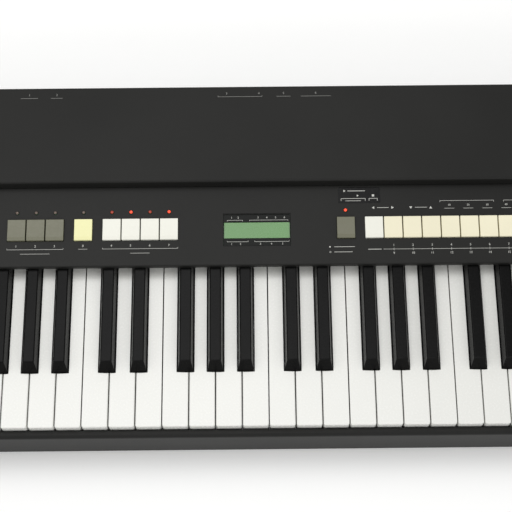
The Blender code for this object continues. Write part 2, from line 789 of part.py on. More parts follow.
def make_keybed():
    """Pressed frame: front stop rail, floor, and the ledge under the key bars."""
    floor = FLOOR_Z + CLEARANCE + SHEET
    front = KEY_FRONT_Y + KEY_CORNER_RADIUS + CASE_WALL
    stop = SKIRT_Z - KEY_DIP - CLEARANCE
    ledge_front = PIVOT_Y - BAR_FRONT + CASE_WALL
    ledge_rear = PIVOT_Y + BAR_REAR + CASE_WALL
    path = [
        (front, stop),
        (front, floor),
        (ledge_front, floor),
        (ledge_front, LEDGE_Z),
        (ledge_rear, LEDGE_Z),
        (ledge_rear, floor - SHEET),
    ]
    left = KEYBOARD_LEFT + CLEARANCE
    right = KEYBOARD_RIGHT - CLEARANCE
    mesh = swept_sheet("keybed_frame", path, left, right)
    frame = add_piece("keybed_frame", mesh, STEEL)
    add_solidify(frame, SHEET)
    post_top = KEY_TOP_Z - KEY_WALL - KEY_DIP - CLEARANCE
    posts = []
    for i in range(WHITE_COUNT):
        x = KEYBOARD_LEFT + (i + 0.5) * KEY_PITCH
        y = front + NECK_WIDTH
        low = (x - NECK_WIDTH / 2, y, floor - SHEET / 2)
        high = (x + NECK_WIDTH / 2, y + 2 * NECK_WIDTH, post_top)
        posts.append((low, high))
    join(frame, boxes_mesh("posts", posts), "guide_posts")


def make_control_panel():
    """Sloping sheet with a front lip, cut out for buttons, lamps, display and knob."""
    lip = BLACK_TOP_Z + RUNNING_CLEARANCE * 2
    path = [
        (PANEL_FRONT_Y, lip),
        (PANEL_FRONT_Y, PANEL_FRONT_Z),
        (DECK_FRONT_Y - CLEARANCE, PANEL_REAR_Z),
    ]
    path = rounded_path(path, [0, PANEL_BEND, 0])
    mesh = swept_sheet("control_panel", path, INNER_LEFT, INNER_RIGHT)
    panel = add_piece("control_panel", mesh, PANEL_BLACK)
    add_solidify(panel, SHEET)
    bm = bmesh.new()
    room = RUNNING_CLEARANCE
    for _, first, count in BUTTON_GROUPS:
        centres = button_centres(first, count)
        left = centres[0] - BUTTON_WIDTH / 2 - room
        right = centres[-1] + BUTTON_WIDTH / 2 + room
        low = (left, BUTTON_FRONT - room, -SHEET - OVERCUT)
        high = (right, BUTTON_FRONT + BUTTON_DEPTH + room, OVERCUT)
        box_into(bm, low, high)
    left = from_keys(DISPLAY_LEFT)
    low = (left, DISPLAY_FRONT, -SHEET - OVERCUT)
    high = (left + DISPLAY_WIDTH, DISPLAY_FRONT + DISPLAY_DEPTH, OVERCUT)
    box_into(bm, low, high)
    for x in lamp_places():
        start = (x, LAMP_LINE, -SHEET - OVERCUT)
        rod_into(bm, LAMP_RADIUS + room, start, (x, LAMP_LINE, OVERCUT), LAMP_SIDES)
    x = LEFT_X + KNOB_INSET
    start = (x, KNOB_FRONT, -SHEET - OVERCUT)
    rod_into(bm, KNOB_SHAFT_RADIUS + room, start, (x, KNOB_FRONT, OVERCUT), 16)
    cut(panel, mesh_of(bm, "panel_holes"), "holes", parent=PANEL_PLANE)


def drawbar_places():
    return [LEFT_X + DRAWBAR_FIRST + DRAWBAR_PITCH * i for i in range(DRAWBAR_COUNT)]


STEM_Z = PANEL_REAR_Z + DRAWBAR_STEM_LIFT


def make_rear_deck():
    """Folded top cover whose front drop is slotted for the drawbars, with a guide rail inside."""
    path = [
        (DECK_FRONT_Y, PANEL_REAR_Z - DECK_STEP_LAP),
        (DECK_FRONT_Y, DECK_Z),
        (REAR_Y, DECK_Z),
        (REAR_Y, DECK_Z - DECK_REAR_DROP),
    ]
    path = rounded_path(path, [0, DECK_BEND, DECK_BEND, 0])
    mesh = swept_sheet("rear_deck", path, INNER_LEFT, INNER_RIGHT)
    deck = add_piece("rear_deck", mesh, CASE_BLACK)
    add_solidify(deck, SHEET)
    places = drawbar_places()
    guide_y = DECK_FRONT_Y + GUIDE_SETBACK
    low = (places[0] - DRAWBAR_PITCH / 2, guide_y, PANEL_REAR_Z - SHEET)
    high = (places[-1] + DRAWBAR_PITCH / 2, guide_y + SHEET, DECK_Z - SHEET / 2)
    join(deck, boxes_mesh("guide", [(low, high)]), "drawbar_guide")
    half = DRAWBAR_STEM_WIDTH / 2 + CLEARANCE
    slots = []
    for x in places:
        low = (x - half, DECK_FRONT_Y - OVERCUT, STEM_Z - CLEARANCE)
        high = (x + half, guide_y + SHEET + OVERCUT, STEM_Z + DRAWBAR_STEM_HEIGHT + CLEARANCE)
        slots.append((low, high))
    cut(deck, boxes_mesh("slots", slots), "drawbar_slots")


# Controls


def button_profile():
    """(y, z) outline of a push button from its front, z from the panel's surface."""
    depth = BUTTON_DEPTH
    return [
        (0, -BUTTON_SKIRT),
        (depth, -BUTTON_SKIRT),
        (depth, BUTTON_RISE),
        (depth * 0.98, BUTTON_RISE * 1.15),
        (depth * 0.65, BUTTON_RISE * 0.90),
        (depth * 0.17, BUTTON_RISE * 1.05),
        (depth * 0.02, BUTTON_RISE * 0.80),
        (0, BUTTON_RISE * 0.65),
    ]


def make_buttons():
    """Moulded caps with a flange under the panel, a hollow underside and a plunger rib."""
    materials = {
        "drawbar_select": OLIVE,
        "split": CREAM,
        "percussion": WHITE,
        "bank_select": OLIVE,
        "preset": CREAM,
    }
    half_width = BUTTON_WIDTH / 2
    half = half_width - BUTTON_WALL
    middle = BUTTON_DEPTH / 2
    rib = BUTTON_WALL
    pockets = [
        ((-half, BUTTON_WALL, -BUTTON_SKIRT - OVERCUT), (half, middle - rib, 0)),
        ((-half, middle + rib, -BUTTON_SKIRT - OVERCUT), (half, BUTTON_DEPTH - BUTTON_WALL, 0)),
    ]
    flange_top = -SHEET - CLEARANCE
    flange_half = half_width - CLEARANCE
    low = (-flange_half, -BUTTON_FLANGE, flange_top - BUTTON_FLANGE_THICKNESS)
    flange = (low, (flange_half, BUTTON_DEPTH + BUTTON_FLANGE, flange_top))
    for group, first, count in BUTTON_GROUPS:
        for i, x in enumerate(button_centres(first, count)):
            name = f"{group}_button_{i + 1}" if count > 1 else f"{group}_button"
            mesh = outline_mesh(name, button_profile(), -half_width, half_width, "YZ")
            place = (x, BUTTON_FRONT, 0)
            button = add_piece(name, mesh, materials[group], place, PANEL_PLANE)
            join(button, boxes_mesh("flange", [flange]), "flange", place, PANEL_PLANE)
            cut(button, boxes_mesh("pockets", pockets), "pockets", place, PANEL_PLANE)


def make_panel_board():
    """Switch board under the panel, with a switch below each button, lamps and the volume pot."""
    top = -BOARD_DROP
    left = INNER_LEFT + CASE_WALL
    last_first, last_count = BUTTON_GROUPS[-1][1:]
    right = button_centres(last_first, last_count)[-1] + BUTTON_PITCH
    front = DISPLAY_FRONT - BUTTON_FLANGE
    rear = LAMP_LINE + LAMP_SETBACK
    corners = [((left, front, top - BOARD_THICKNESS), (right, rear, top))]
    mesh = boxes_mesh("panel_board", corners)
    board = add_piece("panel_board", mesh, CIRCUIT_GREEN, parent=PANEL_PLANE)
    bm = bmesh.new()
    sink = BOARD_THICKNESS / 2
    half = SWITCH_SIZE / 2
    middle = BUTTON_FRONT + BUTTON_DEPTH / 2
    for _, first, count in BUTTON_GROUPS:
        for x in button_centres(first, count):
            low = (x - half, middle - half, top - sink)
            box_into(bm, low, (x + half, middle + half, -SWITCH_TOP))
    for x in lamp_places():
        rod_into(bm, LAMP_RADIUS, (x, LAMP_LINE, top - sink), (x, LAMP_LINE, LAMP_RISE), LAMP_SIDES)
    x = LEFT_X + KNOB_INSET
    pot = (x, KNOB_FRONT, -SHEET - KNOB_SHAFT_RADIUS)
    rod_into(bm, KNOB_RADIUS, (x, KNOB_FRONT, top - sink), pot, 12)
    join(board, mesh_of(bm, "parts"), "parts", parent=PANEL_PLANE)
    bore = bmesh.new()
    deep = (x, KNOB_FRONT, -KNOB_SHAFT - RUNNING_CLEARANCE)
    rod_into(bore, KNOB_SHAFT_RADIUS + RUNNING_CLEARANCE, deep, (x, KNOB_FRONT, 0), 16)
    cut(board, mesh_of(bore, "bore"), "pot_bore", parent=PANEL_PLANE)


def make_display():
    """Recessed bezel and, behind it, the display module whose glass fills the bezel's opening."""
    left = from_keys(DISPLAY_LEFT) + CLEARANCE
    right = from_keys(DISPLAY_LEFT) + DISPLAY_WIDTH - CLEARANCE
    front = DISPLAY_FRONT + CLEARANCE
    rear = DISPLAY_FRONT + DISPLAY_DEPTH - CLEARANCE
    low = -DISPLAY_RECESS - BEZEL_THICKNESS
    high = -DISPLAY_RECESS
    mesh = boxes_mesh("display_bezel", [((left, front, low), (right, rear, high))])
    bezel = add_piece("display_bezel", mesh, WINDOW_BLACK, parent=PANEL_PLANE)
    middle = (left + right) / 2
    glass_left = middle - LCD_WIDTH / 2
    glass_right = middle + LCD_WIDTH / 2
    glass_front = DISPLAY_FRONT + LCD_FRONT
    glass_rear = glass_front + LCD_DEPTH
    hole_low = (glass_left, glass_front, low - OVERCUT)
    hole_high = (glass_right, glass_rear, OVERCUT)
    cut(bezel, boxes_mesh("opening", [(hole_low, hole_high)]), "opening", parent=PANEL_PLANE)
    module_low = (left, front, -BOARD_DROP + CLEARANCE)
    module_high = (right, rear, low - CLEARANCE)
    mesh = boxes_mesh("display_module", [(module_low, module_high)])
    module = add_piece("display_module", mesh, LCD_GREEN, parent=PANEL_PLANE)
    glass_low = (glass_left + CLEARANCE, glass_front + CLEARANCE, low - 2 * CLEARANCE)
    glass_high = (glass_right - CLEARANCE, glass_rear - CLEARANCE, high - CLEARANCE)
    join(module, boxes_mesh("glass", [(glass_low, glass_high)]), "glass", parent=PANEL_PLANE)


def make_drawbars():
    """Flat stems that run back through the deck's slots, each with a crowned cap."""
    colours = (BROWN, BROWN, WHITE, WHITE, EBONY, WHITE, EBONY, EBONY, WHITE)
    cap_rear = -RUNNING_CLEARANCE
    cap_front = cap_rear - DRAWBAR_CAP_DEPTH
    cap_low = DRAWBAR_CAP_LIFT - DRAWBAR_STEM_LIFT
    cap_top = cap_low + DRAWBAR_CAP_HEIGHT
    crown = DRAWBAR_CAP_ROUND
    cap = [
        (-DRAWBAR_CAP_WIDTH / 2, cap_low),
        (DRAWBAR_CAP_WIDTH / 2, cap_low),
        (DRAWBAR_CAP_WIDTH / 2, cap_top),
        (-DRAWBAR_CAP_WIDTH / 2, cap_top),
    ]
    cap = rounded_path(cap, [0, 0, crown, crown], closed=True, steps=4)
    for i, x in enumerate(drawbar_places()):
        name = f"drawbar_{i + 1}"
        mesh = outline_mesh(name, cap, -cap_rear, -cap_front, "XZ")
        place = (x, DECK_FRONT_Y, STEM_Z)
        drawbar = add_piece(name, mesh, colours[i % len(colours)], place)
        half = DRAWBAR_STEM_WIDTH / 2
        low = (-half, cap_front + DRAWBAR_CAP_DEPTH / 2, 0)
        high = (half, DRAWBAR_TAIL, DRAWBAR_STEM_HEIGHT)
        join(drawbar, boxes_mesh("stem", [(low, high)]), "stem", place)


def make_knob():
    """Turned volume knob with a skirt, a pointer notch and its shaft."""
    gap = RUNNING_CLEARANCE
    skirt = KNOB_RADIUS
    grip = KNOB_RADIUS * 0.78
    profile = [
        (0, KNOB_HEIGHT),
        (grip * 0.86, KNOB_HEIGHT),
        (grip * 0.95, KNOB_HEIGHT * 0.93),
        (grip, KNOB_HEIGHT * 0.25),
        (skirt, KNOB_HEIGHT * 0.16),
        (skirt, gap),
        (KNOB_SHAFT_RADIUS, gap),
        (KNOB_SHAFT_RADIUS, -KNOB_SHAFT),
        (0, -KNOB_SHAFT),
    ]
    place = (LEFT_X + KNOB_INSET, KNOB_FRONT, 0)
    knob = turned_piece("volume_knob", profile, KNOB_STEPS, CASE_BLACK, place, parent=PANEL_PLANE)
    notch = KNOB_RADIUS / 12
    low = (-notch, grip * 0.35, KNOB_HEIGHT * 0.88)
    high = (notch, grip + OVERCUT, KNOB_HEIGHT + OVERCUT)
    cut(knob, boxes_mesh("pointer", [(low, high)]), "pointer", place, PANEL_PLANE)


def make_wheel(name, x, rest_turn):
    half = WHEEL_WIDTH / 2
    hub = WHEEL_HUB_WIDTH / 2
    chamfer = WHEEL_WIDTH / 8
    profile = [
        (BORE_RADIUS, hub),
        (WHEEL_HUB_RADIUS, hub),
        (WHEEL_HUB_RADIUS, half),
        (WHEEL_RADIUS - chamfer, half),
        (WHEEL_RADIUS, half - chamfer),
        (WHEEL_RADIUS, -half + chamfer),
        (WHEEL_RADIUS - chamfer, -half),
        (WHEEL_HUB_RADIUS, -half),
        (WHEEL_HUB_RADIUS, -hub),
        (BORE_RADIUS, -hub),
    ]
    place = (x, WHEEL_Y, AXLE_Z)
    turn = (0, math.radians(90), 0)
    wheel = turned_piece(name, profile, WHEEL_STEPS, CASE_BLACK, place, turn)
    distance = WHEEL_RADIUS + WHEEL_GRIP_RADIUS - WHEEL_GRIP_SINK
    y = -distance * math.sin(rest_turn)
    z = distance * math.cos(rest_turn)
    bm = bmesh.new()
    rod_into(bm, WHEEL_GRIP_RADIUS, (-WHEEL_WIDTH, y, z), (WHEEL_WIDTH, y, z), 12)
    cut(wheel, mesh_of(bm, "grip"), "grip", place)


def make_wheels():
    pitch_x, mod_x = wheel_places()
    make_wheel("pitch_wheel", pitch_x, 0)
    make_wheel("modulation_wheel", mod_x, MOD_WHEEL_REST)
    middle = (pitch_x + mod_x) / 2
    left = middle - BRACKET_WIDTH / 2
    right = middle + BRACKET_WIDTH / 2
    foot = FLOOR_Z + CLEARANCE
    top = AXLE_Z + BRACKET_OVER_AXLE
    path = [(right, top), (right, foot), (left, foot), (left, top)]
    half = BRACKET_DEPTH / 2
    mesh = swept_sheet("wheel_bracket", path, -half, half, "XZ")
    bracket = add_piece("wheel_bracket", mesh, STEEL, (0, WHEEL_Y, 0))
    add_solidify(bracket, BRACKET_SHEET)
    bm = bmesh.new()
    reach = BRACKET_SHEET / 2
    start = (left + reach, 0, AXLE_Z)
    rod_into(bm, AXLE_RADIUS, start, (right - reach, 0, AXLE_Z), 16)
    join(bracket, mesh_of(bm, "axle"), "axle", (0, WHEEL_Y, 0))


# Rear panel and electronics


def make_rear_panel():
    """Steel plate with the sockets, each with its nut or collar outside and its body inside."""
    outer = REAR_PANEL_Y
    inner = outer - SHEET
    flange = SHEET + CLEARANCE
    low = (INNER_LEFT + flange, inner, FLOOR_Z + CLEARANCE)
    high = (INNER_RIGHT - flange, outer, DECK_Z - SHEET - CLEARANCE)
    panel = add_piece("rear_panel", boxes_mesh("rear_panel", [(low, high)]), STEEL)
    fittings = bmesh.new()
    bores = bmesh.new()
    middle = (inner + outer) / 2
    past = outer + OVERCUT
    for place in JACK_PLACES:
        x = from_keys(place)
        nut = (x, outer + JACK_NUT_THICKNESS, JACK_Z)
        rod_into(fittings, JACK_NUT_RADIUS, (x, middle, JACK_Z), nut, 6)
        half = JACK_BODY / 2
        low = (x - half, inner - JACK_DEPTH, JACK_Z - half)
        box_into(fittings, low, (x + half, middle - CLEARANCE, JACK_Z + half))
        start = (x, outer - JACK_DEPTH, JACK_Z)
        rod_into(bores, JACK_RADIUS, start, (x, past, JACK_Z), JACK_SIDES)
    rounds = [(from_keys(place), DIN_RADIUS) for place in DIN_PLACES]
    rounds.append((from_keys(DRIVER_PLACE), DRIVER_RADIUS))
    for x, radius in rounds:
        collar = radius + DIN_COLLAR
        end = (x, outer + JACK_NUT_THICKNESS / 2, JACK_Z)
        rod_into(fittings, collar, (x, inner - DIN_DEPTH, JACK_Z), end, SOCKET_SIDES)
        rod_into(bores, radius, (x, outer - DIN_DEPTH, JACK_Z), (x, past, JACK_Z), SOCKET_SIDES)
    x = from_keys(INLET_PLACE)
    half_width = INLET_WIDTH / 2
    half_height = INLET_HEIGHT / 2
    rim = CASE_WALL
    low = (x - half_width - rim, inner - INLET_DEPTH, JACK_Z - half_height - rim)
    high = (x + half_width + rim, outer + JACK_NUT_THICKNESS / 2, JACK_Z + half_height + rim)
    box_into(fittings, low, high)
    low = (x - half_width, outer - INLET_DEPTH, JACK_Z - half_height)
    box_into(bores, low, (x + half_width, past, JACK_Z + half_height))
    join(panel, mesh_of(fittings, "fittings"), "fittings")
    x = from_keys(ROCKER_PLACE)
    room = RUNNING_CLEARANCE
    low = (x - ROCKER_WIDTH / 2 - room, inner - OVERCUT, JACK_Z - ROCKER_HEIGHT / 2 - room)
    high = (x + ROCKER_WIDTH / 2 + room, past, JACK_Z + ROCKER_HEIGHT / 2 + room)
    box_into(bores, low, high)
    cut(panel, mesh_of(bores, "bores"), "bores")
    pins = []
    for dx, dz in ((-0.007, -0.003), (0.007, -0.003), (0, 0.003)):
        x = from_keys(INLET_PLACE) + dx
        z = JACK_Z + dz
        half = INLET_PIN / 2
        low = (x - half, outer - INLET_DEPTH - CLEARANCE, z - 2 * half)
        pins.append((low, (x + half, outer - CASE_WALL, z + 2 * half)))
    join(panel, boxes_mesh("pins", pins), "pins")


def make_rocker():
    """Power switch rocker, tipped to its off side, on its pivot in the rear panel."""
    half = ROCKER_HEIGHT / 2 - CLEARANCE
    depth = REAR_RECESS
    outline = [
        (-depth * 1.5, -half * 0.55),
        (depth * 0.12, -half * 0.98),
        (0, 0),
        (depth * 0.12, half * 0.98),
        (-depth * 1.5, half * 0.55),
    ]
    turned = [(y + SHEET / 2, z) for y, z in outline]
    half_width = ROCKER_WIDTH / 2
    mesh = outline_mesh("power_rocker", turned, -half_width, half_width, "YZ")
    place = (from_keys(ROCKER_PLACE), REAR_PANEL_Y - SHEET / 2, JACK_Z)
    rocker = add_piece("power_rocker", mesh, EBONY, place)
    rocker.rotation_euler = (-ROCKER_TILT, 0, 0)


def make_electronics():
    """Main circuit board on standoffs, and the power supply with its transformer."""
    board_rear = REAR_PANEL_Y - SHEET - JACK_DEPTH - BOARD_SETBACK
    board_front = board_rear - MAIN_BOARD_DEPTH
    left = from_keys(MAIN_BOARD_LEFT)
    right = left + MAIN_BOARD_WIDTH
    base = FLOOR_Z + CLEARANCE
    low_z = base + STANDOFF_HEIGHT
    high_z = low_z + BOARD_THICKNESS
    corners = [((left, board_front, low_z), (right, board_rear, high_z))]
    board = add_piece("main_board", boxes_mesh("main_board", corners), CIRCUIT_GREEN)
    parts = bmesh.new()
    margin = BOARD_SETBACK
    for x in (left + margin, (left + right) / 2, right - margin):
        for y in (board_front + margin, board_rear - margin):
            rod_into(parts, margin / 3, (x, y, base), (x, y, low_z + BOARD_THICKNESS / 2), 8)
    chip = SWITCH_SIZE * 2
    middle = (board_front + board_rear) / 2
    for i in range(6):
        x = left + 4 * margin + i * chip * 3.4
        low = (x, middle - chip / 2, high_z - BOARD_THICKNESS / 2)
        box_into(parts, low, (x + 2 * chip, middle + chip / 2, high_z + CASE_WALL))
    join(board, mesh_of(parts, "parts"), "parts")
    left = from_keys(SUPPLY_LEFT)
    front = board_rear - SUPPLY_DEPTH
    corners = [((left, front, base), (left + SUPPLY_WIDTH, board_rear, base + SHEET))]
    supply = add_piece("power_supply", boxes_mesh("power_supply", corners), TRANSFORMER)
    parts = bmesh.new()
    core_right = left + SUPPLY_WIDTH * 0.55
    core_top = base + TRANSFORMER_HEIGHT
    low = (left + margin, front + margin, base + SHEET / 2)
    box_into(parts, low, (core_right, board_rear - margin, core_top))
    for i in range(3):
        x = core_right + margin * (1 + i * 1.4)
        y = front + 2 * margin
        top = (x, y, base + TRANSFORMER_HEIGHT / 2)
        rod_into(parts, margin / 2, (x, y, base + SHEET / 2), top, 12)
    join(supply, mesh_of(parts, "parts"), "parts")


make_keys()
make_chassis()
make_cheeks()
make_front_rail()
make_keybed()
make_control_panel()
make_rear_deck()
make_buttons()
make_panel_board()
make_display()
make_drawbars()
make_knob()
make_wheels()
make_rear_panel()
make_rocker()
make_electronics()
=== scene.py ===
"""Looks of the drawbar organ: finishes, printed marks, lamp lenses, fittings, light and camera."""

import json
import math

import bmesh
import bpy
from mathutils import Matrix, Vector


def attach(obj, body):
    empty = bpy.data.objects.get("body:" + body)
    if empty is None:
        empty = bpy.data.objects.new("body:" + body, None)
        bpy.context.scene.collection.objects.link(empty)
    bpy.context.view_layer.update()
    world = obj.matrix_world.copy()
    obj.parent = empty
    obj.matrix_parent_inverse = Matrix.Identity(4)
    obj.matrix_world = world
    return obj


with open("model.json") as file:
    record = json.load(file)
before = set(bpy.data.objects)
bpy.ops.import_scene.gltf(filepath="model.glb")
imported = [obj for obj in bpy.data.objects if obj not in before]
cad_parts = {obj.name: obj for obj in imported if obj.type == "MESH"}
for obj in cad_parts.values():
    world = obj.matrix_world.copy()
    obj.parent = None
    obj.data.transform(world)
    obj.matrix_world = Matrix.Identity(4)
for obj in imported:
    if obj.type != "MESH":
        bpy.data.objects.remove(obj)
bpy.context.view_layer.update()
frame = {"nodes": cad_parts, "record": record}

MM = 0.001
CASE = "case"
PANEL_FRONT = (0, -0.0112, 0.079)
PANEL_TILT = math.atan2(0.005, 0.0757)
PANEL = Matrix.Translation(PANEL_FRONT) @ Matrix.Rotation(PANEL_TILT, 4, "X")
DECK = Matrix.Translation((0, 0, 0.095))
INK_LIFT = 0.00006
INK = 0.00004
KEYS_LEFT = -0.385
BUTTON_PITCH = 0.0173
LAMP_S = 0.0515
KNOB_PLACE = (-0.508, 0.037, 0)
DRAWBAR_FIRST_X = -0.478
DRAWBAR_PITCH = 0.019
DRAWBARS = 9
STEM_TOP_Z = 0.0912
JACK_XS = (-0.2755, -0.2500, -0.0920, -0.0620, -0.0390)
ROUND_SOCKET_XS = (-0.0090, 0.2300, 0.2600, 0.2900)
SOCKET_Z = 0.058
NUT_FACE_Y = 0.1605
FOOT_X = 0.475
FOOT_Y = 0.1325

# Materials


def procedural(name, base, rough, **look):
    """A Principled material whose colour, roughness and bump vary with noise in object space."""
    material = bpy.data.materials.new(name)
    material.use_nodes = True
    tree = material.node_tree
    shader = tree.nodes["Principled BSDF"]
    for socket in ("Metallic", "Specular IOR Level"):
        if socket in look:
            shader.inputs[socket].default_value = look[socket]
    if "emit" in look:
        shader.inputs["Emission Color"].default_value = (*look["emit"], 1)
        shader.inputs["Emission Strength"].default_value = look["power"]
    place = tree.nodes.new("ShaderNodeTexCoord")
    source = place.outputs["Object"]
    if "brush" in look:
        stretch = tree.nodes.new("ShaderNodeMapping")
        stretch.inputs["Scale"].default_value = look["brush"]
        tree.links.new(source, stretch.inputs["Vector"])
        source = stretch.outputs["Vector"]

    def noise(scale, detail):
        node = tree.nodes.new("ShaderNodeTexNoise")
        node.inputs["Scale"].default_value = scale
        node.inputs["Detail"].default_value = detail
        tree.links.new(source, node.inputs["Vector"])
        return node.outputs["Fac"]

    def spread(value, low, high):
        node = tree.nodes.new("ShaderNodeMapRange")
        node.inputs["From Min"].default_value = 0.3
        node.inputs["From Max"].default_value = 0.7
        node.inputs["To Min"].default_value = low
        node.inputs["To Max"].default_value = high
        tree.links.new(value, node.inputs["Value"])
        return node.outputs["Result"]

    cloud = noise(look.get("cloud", 9), 4)
    ramp = tree.nodes.new("ShaderNodeValToRGB")
    vary = look.get("vary", 0.08)
    ramp.color_ramp.elements[0].position = 0.3
    ramp.color_ramp.elements[0].color = (*(c * (1 - vary) for c in base), 1)
    ramp.color_ramp.elements[1].position = 0.7
    ramp.color_ramp.elements[1].color = (*(min(1, c * (1 + vary)) for c in base), 1)
    tree.links.new(cloud, ramp.inputs["Fac"])
    tree.links.new(ramp.outputs["Color"], shader.inputs["Base Color"])
    fine = noise(look.get("grain", 900), 3)
    swing = look.get("rough_swing", 0.05)
    tree.links.new(spread(fine, rough - swing, rough + swing), shader.inputs["Roughness"])
    bump = tree.nodes.new("ShaderNodeBump")
    bump.inputs["Strength"].default_value = look.get("bump", 0.15)
    bump.inputs["Distance"].default_value = 0.0001
    tree.links.new(fine, bump.inputs["Height"])
    tree.links.new(bump.outputs["Normal"], shader.inputs["Normal"])
    return material


GRAINED = {"grain": 1600, "bump": 0.35, "vary": 0.10, "Specular IOR Level": 0.15}
SMOOTH = {"grain": 500, "bump": 0.04, "rough_swing": 0.04, "cloud": 14}
DEEP = {**SMOOTH, "vary": 0.2, "Specular IOR Level": 0.07}
LOOKS = {
    "case_black": procedural("case_black", (0.015, 0.015, 0.0142), 0.50, **GRAINED),
    "chassis_black": procedural("chassis_black", (0.0165, 0.0165, 0.0155), 0.46, **GRAINED),
    "ivory_keys": procedural("ivory_keys", (0.83, 0.83, 0.795), 0.26, vary=0.012, **SMOOTH),
    "ebony_keys": procedural("ebony_keys", (0.0045, 0.0045, 0.0045), 0.27, **DEEP),
    "gloss_black": procedural("gloss_black", (0.0045, 0.0045, 0.0045), 0.22, **DEEP),
    "olive_button": procedural("olive_button", (0.150, 0.148, 0.098), 0.42, vary=0.05, **SMOOTH),
    "pale_yellow_button": procedural(
        "pale_yellow_button", (0.88, 0.86, 0.46), 0.40, vary=0.03, **SMOOTH
    ),
    "white_button": procedural("white_button", (0.86, 0.855, 0.77), 0.40, vary=0.02, **SMOOTH),
    "cream_button": procedural("cream_button", (0.88, 0.83, 0.62), 0.40, vary=0.03, **SMOOTH),
    "brown_cap": procedural("brown_cap", (0.10, 0.036, 0.016), 0.35, vary=0.1, **SMOOTH),
    "window_black": procedural("window_black", (0.005, 0.006, 0.005), 0.14, **DEEP),
    "lcd_green": procedural(
        "lcd_green", (0.085, 0.235, 0.060), 0.26, vary=0.06, emit=(0.10, 0.30, 0.07), power=0.08
    ),
    "circuit_green": procedural(
        "circuit_green", (0.03, 0.15, 0.06), 0.40, vary=0.25, cloud=160, bump=0.2
    ),
    "zinc_steel": procedural(
        "zinc_steel", (0.50, 0.51, 0.52), 0.34, Metallic=0.9, vary=0.1, cloud=30, brush=(1, 14, 1)
    ),
    "transformer_iron": procedural(
        "transformer_iron", (0.10, 0.10, 0.11), 0.52, Metallic=0.5, vary=0.2, brush=(1, 1, 20)
    ),
}
PRINT = procedural("white_print", (0.62, 0.62, 0.58), 0.55, vary=0.08, grain=3000, cloud=300)
PRINT_DIM = procedural("grey_print", (0.30, 0.30, 0.28), 0.55, vary=0.1, grain=3000, cloud=300)
LIT = procedural(
    "lit_lens", (0.55, 0.035, 0.02), 0.22, vary=0.1, emit=(1.0, 0.10, 0.04), power=0.9
)
HALF_LIT = procedural(
    "dim_lens", (0.30, 0.05, 0.03), 0.25, vary=0.1, emit=(0.8, 0.08, 0.04), power=0.15
)
UNLIT = procedural("clear_lens", (0.16, 0.12, 0.10), 0.25, vary=0.1, cloud=300)
RUBBER = procedural("foot_rubber", (0.02, 0.02, 0.02), 0.75, vary=0.2, grain=2200, bump=0.4)
NICKEL = procedural("nickel", (0.62, 0.61, 0.58), 0.22, Metallic=1.0, vary=0.06, cloud=60)
STICKER = procedural("gloss_film", (0.004, 0.004, 0.004), 0.12, **DEEP)

SLOT_OF = {}
for part in frame["record"]["subparts"]:
    SLOT_OF[part["node"]] = part["material_slot"]

EASED = {
    "white_keys": 0.00035,
    "black_keys": 0.00045,
    "drawbar": 0.0006,
    "button": 0.0005,
    "cheek": 0.0008,
    "wheel": 0.0005,
    "rocker": 0.0004,
}


def ease_edges(obj, width):
    """Welds the mesh's split corners and rounds its sharp edges a little."""
    weld = obj.modifiers.new("weld", "WELD")
    weld.merge_threshold = 0.000002
    bevel = obj.modifiers.new("ease", "BEVEL")
    bevel.width = width
    bevel.segments = 2
    bevel.limit_method = "ANGLE"
    bevel.angle_limit = math.radians(38)
    bevel.harden_normals = True


for node, obj in frame["nodes"].items():
    look = LOOKS[SLOT_OF[node]]
    obj.data.materials.clear()
    obj.data.materials.append(look)
    for key, width in EASED.items():
        if key in node and not node.startswith("wheel_bracket"):
            ease_edges(obj, width)
            break


# Pieces


def piece(name, bm, material, matrix, body):
    """A new mesh placed in the row frame, riding on a body."""
    mesh = bpy.data.meshes.new(name)
    bm.transform(matrix)
    bm.to_mesh(mesh)
    bm.free()
    obj = bpy.data.objects.new(name, mesh)
    bpy.context.scene.collection.objects.link(obj)
    mesh.materials.append(material)
    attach(obj, body)
    return obj


def slab(bm, x0, y0, x1, y1, z0=INK_LIFT, z1=INK_LIFT + INK):
    size = Vector((x1 - x0, y1 - y0, z1 - z0))
    middle = Vector((x0 + x1, y0 + y1, z0 + z1)) / 2
    place = Matrix.Translation(middle) @ Matrix.Diagonal((*size, 1))
    bmesh.ops.create_cube(bm, size=1, matrix=place)


def disc(bm, x, y, radius, inner=0, steps=20):
    """A flat printed dot, or a ring when inner isn't zero."""
    if not inner:
        bmesh.ops.create_cone(
            bm,
            cap_ends=True,
            segments=steps,
            radius1=radius,
            radius2=radius,
            depth=INK,
            matrix=Matrix.Translation((x, y, INK_LIFT + INK / 2)),
        )
        return
    for i in range(steps):
        first, last = [2 * math.pi * (i + k) / steps for k in (0, 1)]
        corners = ((first, inner), (first, radius), (last, radius), (last, inner))
        prism(bm, [(x + r * math.cos(a), y + r * math.sin(a)) for a, r in corners])


def prism(bm, points):
    """A thin printed patch with the given corners, anticlockwise."""
    low = [bm.verts.new((x, y, INK_LIFT)) for x, y in points]
    high = [bm.verts.new((x, y, INK_LIFT + INK)) for x, y in points]
    bm.faces.new(low[::-1])
    bm.faces.new(high)
    count = len(points)
    for i in range(count):
        k = (i + 1) % count
        bm.faces.new((low[i], low[k], high[k], high[i]))


def triangle(bm, x, y, radius, turn):
    angles = [turn + math.radians(120 * i) for i in range(3)]
    prism(bm, [(x + radius * math.cos(a), y + radius * math.sin(a)) for a in angles])


